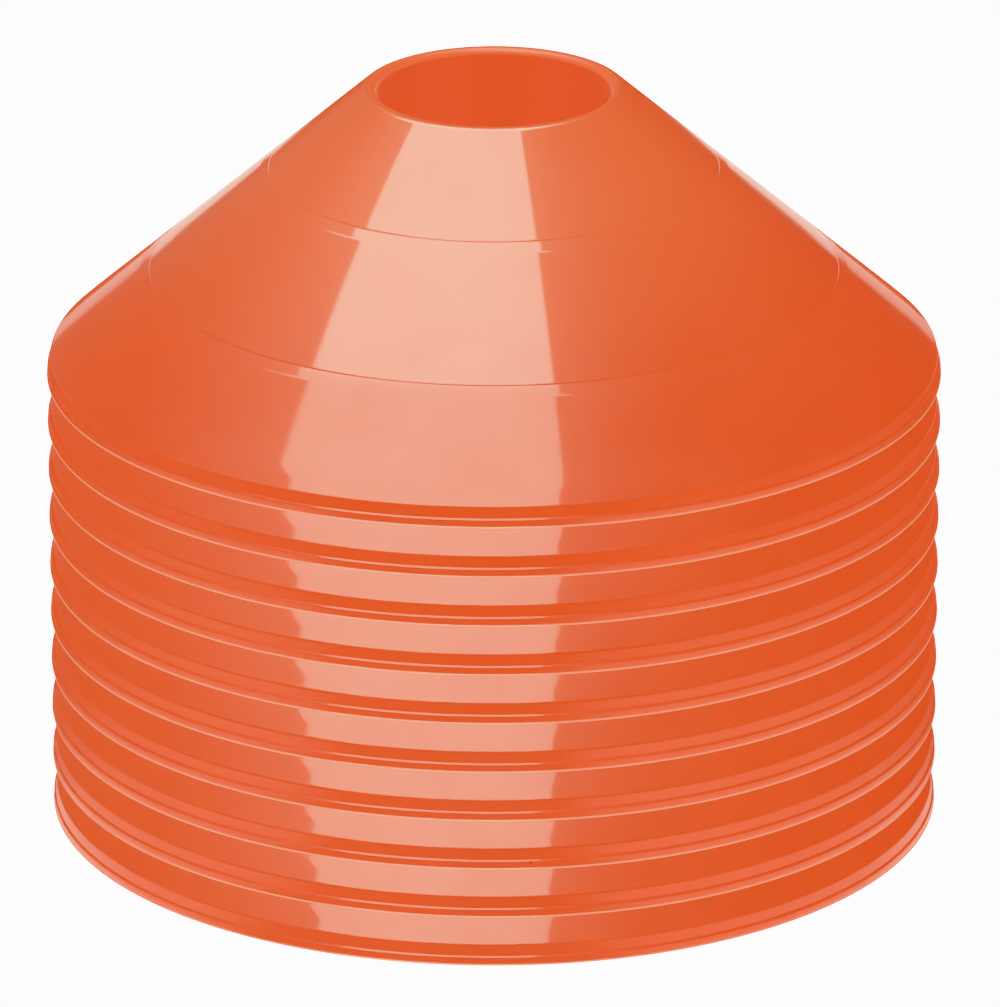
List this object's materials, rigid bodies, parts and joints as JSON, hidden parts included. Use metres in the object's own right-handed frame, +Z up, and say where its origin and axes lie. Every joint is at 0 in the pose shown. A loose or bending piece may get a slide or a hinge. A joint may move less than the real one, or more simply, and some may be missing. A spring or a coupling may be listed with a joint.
{
  "type": "sports marker cone stack",
  "caption": "Nested stack of low round marker cones in glossy plastic, each with an open crown hole, ring bands and a beaded rim, that lift off the stack one at a time.",
  "frame": {"origin": "centre of the ground plane under the bottom cone's rim", "axes": "+Z up along the common axis of the cones"},
  "size_m": [0.19, 0.19, 0.1602],
  "materials": {
    "cone_plastic": "smooth glossy moulded surface"
  },
  "bodies": {
    "cone_01": {"cone_01": "cone_plastic"},
    "cone_02": {"cone_02": "cone_plastic"},
    "cone_03": {"cone_03": "cone_plastic"},
    "cone_04": {"cone_04": "cone_plastic"},
    "cone_05": {"cone_05": "cone_plastic"},
    "cone_06": {"cone_06": "cone_plastic"},
    "cone_07": {"cone_07": "cone_plastic"},
    "cone_08": {"cone_08": "cone_plastic"},
    "cone_09": {"cone_09": "cone_plastic"},
    "cone_10": {"cone_10": "cone_plastic"}
  },
  "joints": [
    {"name": "lift_02", "type": "slide", "parent": "cone_01", "child": "cone_02", "axis": [0, 0, 1], "range_m": [0, 0.08]},
    {"name": "lift_03", "type": "slide", "parent": "cone_02", "child": "cone_03", "axis": [0, 0, 1], "range_m": [0, 0.08]},
    {"name": "lift_04", "type": "slide", "parent": "cone_03", "child": "cone_04", "axis": [0, 0, 1], "range_m": [0, 0.08]},
    {"name": "lift_05", "type": "slide", "parent": "cone_04", "child": "cone_05", "axis": [0, 0, 1], "range_m": [0, 0.08]},
    {"name": "lift_06", "type": "slide", "parent": "cone_05", "child": "cone_06", "axis": [0, 0, 1], "range_m": [0, 0.08]},
    {"name": "lift_07", "type": "slide", "parent": "cone_06", "child": "cone_07", "axis": [0, 0, 1], "range_m": [0, 0.08]},
    {"name": "lift_08", "type": "slide", "parent": "cone_07", "child": "cone_08", "axis": [0, 0, 1], "range_m": [0, 0.08]},
    {"name": "lift_09", "type": "slide", "parent": "cone_08", "child": "cone_09", "axis": [0, 0, 1], "range_m": [0, 0.08]},
    {"name": "lift_10", "type": "slide", "parent": "cone_09", "child": "cone_10", "axis": [0, 0, 1], "range_m": [0, 0.08]}
  ]
}
